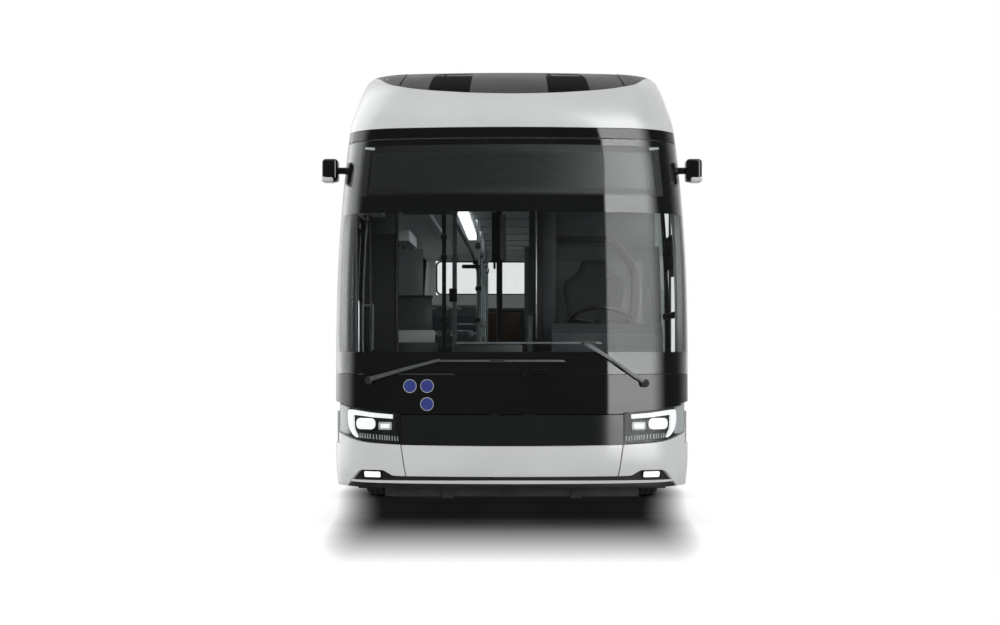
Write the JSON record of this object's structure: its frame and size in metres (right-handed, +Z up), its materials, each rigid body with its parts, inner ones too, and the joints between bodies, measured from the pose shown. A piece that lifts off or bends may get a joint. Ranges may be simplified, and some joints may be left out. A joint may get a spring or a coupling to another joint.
{
  "type": "city bus",
  "caption": "low-floor single-deck city bus with rounded glass front, inward gliding doors, steered front axle, twin rear wheels and roof packs",
  "frame": {"origin": "on the ground under the middle of the bus's overall length and width", "axes": "+Z up, -Y towards the front of the bus, +X towards the driver's side (the bus's left); doors on the -X side"},
  "size_m": [2.768, 12.0029, 3.3099],
  "materials": {
    "white_paint": "gloss white paint",
    "black_gloss": "gloss black",
    "dark_trim": "satin dark grey",
    "glass": "tinted",
    "lamp_lens": "clear",
    "tail_lens": "red lens",
    "display": "unlit panel",
    "steel": "chassis black",
    "cast": "cast",
    "rim_paint": "silver",
    "tyre": "tread rubber",
    "bellows": "black",
    "flooring": "speckled vinyl",
    "interior": "grey",
    "seat_cloth": "woven",
    "rail_steel": "brushed",
    "aluminium": "anodised"
  },
  "bodies": {
    "coach": {"air_springs": "bellows", "cab_partition": "dark_trim", "camera_arms": "black_gloss", "chassis_frame": "steel", "corner_posts": "white_paint", "dashboard": "dark_trim", "destination_sign": "display", "door_gear": "interior", "driver_seat": "seat_cloth", "entrance_screen": "dark_trim", "floor": "flooring", "front_axle": "cast", "front_bumper": "white_paint", "front_cap": "white_paint", "front_panel": "black_gloss", "handrails": "rail_steel", "head_band": "black_gloss", "headlamps": "lamp_lens", "left_wall": "white_paint", "passenger_seats": "seat_cloth", "power_unit": "aluminium", "rear_axle": "cast", "rear_bumper": "white_paint", "rear_cap": "white_paint", "rear_wall": "white_paint", "right_wall": "white_paint", "roof": "white_paint", "roof_fairings": "white_paint", "roof_units": "aluminium", "roof_visor": "dark_trim", "screen_frame": "black_gloss", "skirt_panels": "white_paint", "steering_wheel": "dark_trim", "tail_lamps": "tail_lens", "wheel_boxes": "interior", "windows": "glass", "windscreen": "glass", "wipers": "dark_trim"},
    "steering_knuckle_left": {"knuckle_left": "cast"},
    "front_wheel_left": {"front_rim_left": "rim_paint", "front_tyre_left": "tyre"},
    "rear_wheels_left": {"rear_rims_left": "rim_paint", "rear_tyres_left": "tyre"},
    "steering_knuckle_right": {"knuckle_right": "cast"},
    "front_wheel_right": {"front_rim_right": "rim_paint", "front_tyre_right": "tyre"},
    "rear_wheels_right": {"rear_rims_right": "rim_paint", "rear_tyres_right": "tyre"},
    "steering_rod": {"track_rod": "steel"},
    "post_front_a": {"door_post_front_a": "rail_steel"},
    "leaf_front_a": {"door_leaf_front_a": "black_gloss"},
    "post_front_b": {"door_post_front_b": "rail_steel"},
    "leaf_front_b": {"door_leaf_front_b": "black_gloss"},
    "post_middle_a": {"door_post_middle_a": "rail_steel"},
    "leaf_middle_a": {"door_leaf_middle_a": "black_gloss"},
    "post_middle_b": {"door_post_middle_b": "rail_steel"},
    "leaf_middle_b": {"door_leaf_middle_b": "black_gloss"},
    "flap": {"front_flap": "black_gloss"},
    "lid": {"rear_lid": "white_paint"},
    "cab_gate": {"cab_door": "dark_trim"}
  },
  "joints": [
    {"name": "steer_left", "type": "hinge", "parent": "coach", "child": "steering_knuckle_left", "pos_m": [0.93, -3.213, 0.479], "axis": [0, 0, 1], "range_deg": [-40, 40]},
    {"name": "front_spin_left", "type": "hinge", "parent": "steering_knuckle_left", "child": "front_wheel_left", "pos_m": [1.107, -3.213, 0.479], "axis": [1, 0, 0], "continuous": true},
    {"name": "rear_spin_left", "type": "hinge", "parent": "coach", "child": "rear_wheels_left", "pos_m": [0.952, 2.737, 0.479], "axis": [1, 0, 0], "continuous": true},
    {"name": "steer_right", "type": "hinge", "parent": "coach", "child": "steering_knuckle_right", "pos_m": [-0.93, -3.213, 0.479], "axis": [0, 0, 1], "range_deg": [-40, 40]},
    {"name": "front_spin_right", "type": "hinge", "parent": "steering_knuckle_right", "child": "front_wheel_right", "pos_m": [-1.107, -3.213, 0.479], "axis": [1, 0, 0], "continuous": true},
    {"name": "rear_spin_right", "type": "hinge", "parent": "coach", "child": "rear_wheels_right", "pos_m": [-0.952, 2.737, 0.479], "axis": [1, 0, 0], "continuous": true},
    {"name": "rod_pivot", "type": "hinge", "parent": "steering_knuckle_left", "child": "steering_rod", "pos_m": [0.93, -3.013, 0.25], "axis": [0, 0, 1], "range_deg": [-40, 40]},
    {"name": "post_turn_front_a", "type": "hinge", "parent": "coach", "child": "post_front_a", "pos_m": [-1.155, -5.2274, 1.3], "axis": [0, 0, -1], "range_deg": [0, 90]},
    {"name": "leaf_turn_front_a", "type": "hinge", "parent": "post_front_a", "child": "leaf_front_a", "pos_m": [-1.155, -4.8924, 1.3], "axis": [0, 0, 1], "range_deg": [0, 180]},
    {"name": "post_turn_front_b", "type": "hinge", "parent": "coach", "child": "post_front_b", "pos_m": [-1.155, -3.9874, 1.3], "axis": [0, 0, 1], "range_deg": [0, 90]},
    {"name": "leaf_turn_front_b", "type": "hinge", "parent": "post_front_b", "child": "leaf_front_b", "pos_m": [-1.155, -4.3224, 1.3], "axis": [0, 0, -1], "range_deg": [0, 180]},
    {"name": "post_turn_middle_a", "type": "hinge", "parent": "coach", "child": "post_middle_a", "pos_m": [-1.155, -0.62, 1.3], "axis": [0, 0, -1], "range_deg": [0, 90]},
    {"name": "leaf_turn_middle_a", "type": "hinge", "parent": "post_middle_a", "child": "leaf_middle_a", "pos_m": [-1.155, -0.285, 1.3], "axis": [0, 0, 1], "range_deg": [0, 180]},
    {"name": "post_turn_middle_b", "type": "hinge", "parent": "coach", "child": "post_middle_b", "pos_m": [-1.155, 0.62, 1.3], "axis": [0, 0, 1], "range_deg": [0, 90]},
    {"name": "leaf_turn_middle_b", "type": "hinge", "parent": "post_middle_b", "child": "leaf_middle_b", "pos_m": [-1.155, 0.285, 1.3], "axis": [0, 0, -1], "range_deg": [0, 180]},
    {"name": "flap_hinge", "type": "hinge", "parent": "coach", "child": "flap", "pos_m": [0, -5.9614, 0.7983], "axis": [-1, 0, 0], "range_deg": [0, 100]},
    {"name": "lid_hinge", "type": "hinge", "parent": "coach", "child": "lid", "pos_m": [0, 5.9935, 1.5957], "axis": [1, 0, 0], "range_deg": [0, 80]},
    {"name": "cab_door_hinge", "type": "hinge", "parent": "coach", "child": "cab_gate", "pos_m": [0.112, -3.968, 1], "axis": [0, 0, -1], "range_deg": [0, 85]}
  ],
  "couplings": [
    {"joint": "steer_right", "follows": "steer_left", "ratio": 1},
    {"joint": "rod_pivot", "follows": "steer_left", "ratio": -1},
    {"joint": "post_turn_front_b", "follows": "post_turn_front_a", "ratio": 1},
    {"joint": "leaf_turn_front_a", "follows": "post_turn_front_a", "ratio": 2},
    {"joint": "leaf_turn_front_b", "follows": "post_turn_front_a", "ratio": 2},
    {"joint": "post_turn_middle_b", "follows": "post_turn_middle_a", "ratio": 1},
    {"joint": "leaf_turn_middle_a", "follows": "post_turn_middle_a", "ratio": 2},
    {"joint": "leaf_turn_middle_b", "follows": "post_turn_middle_a", "ratio": 2}
  ]
}
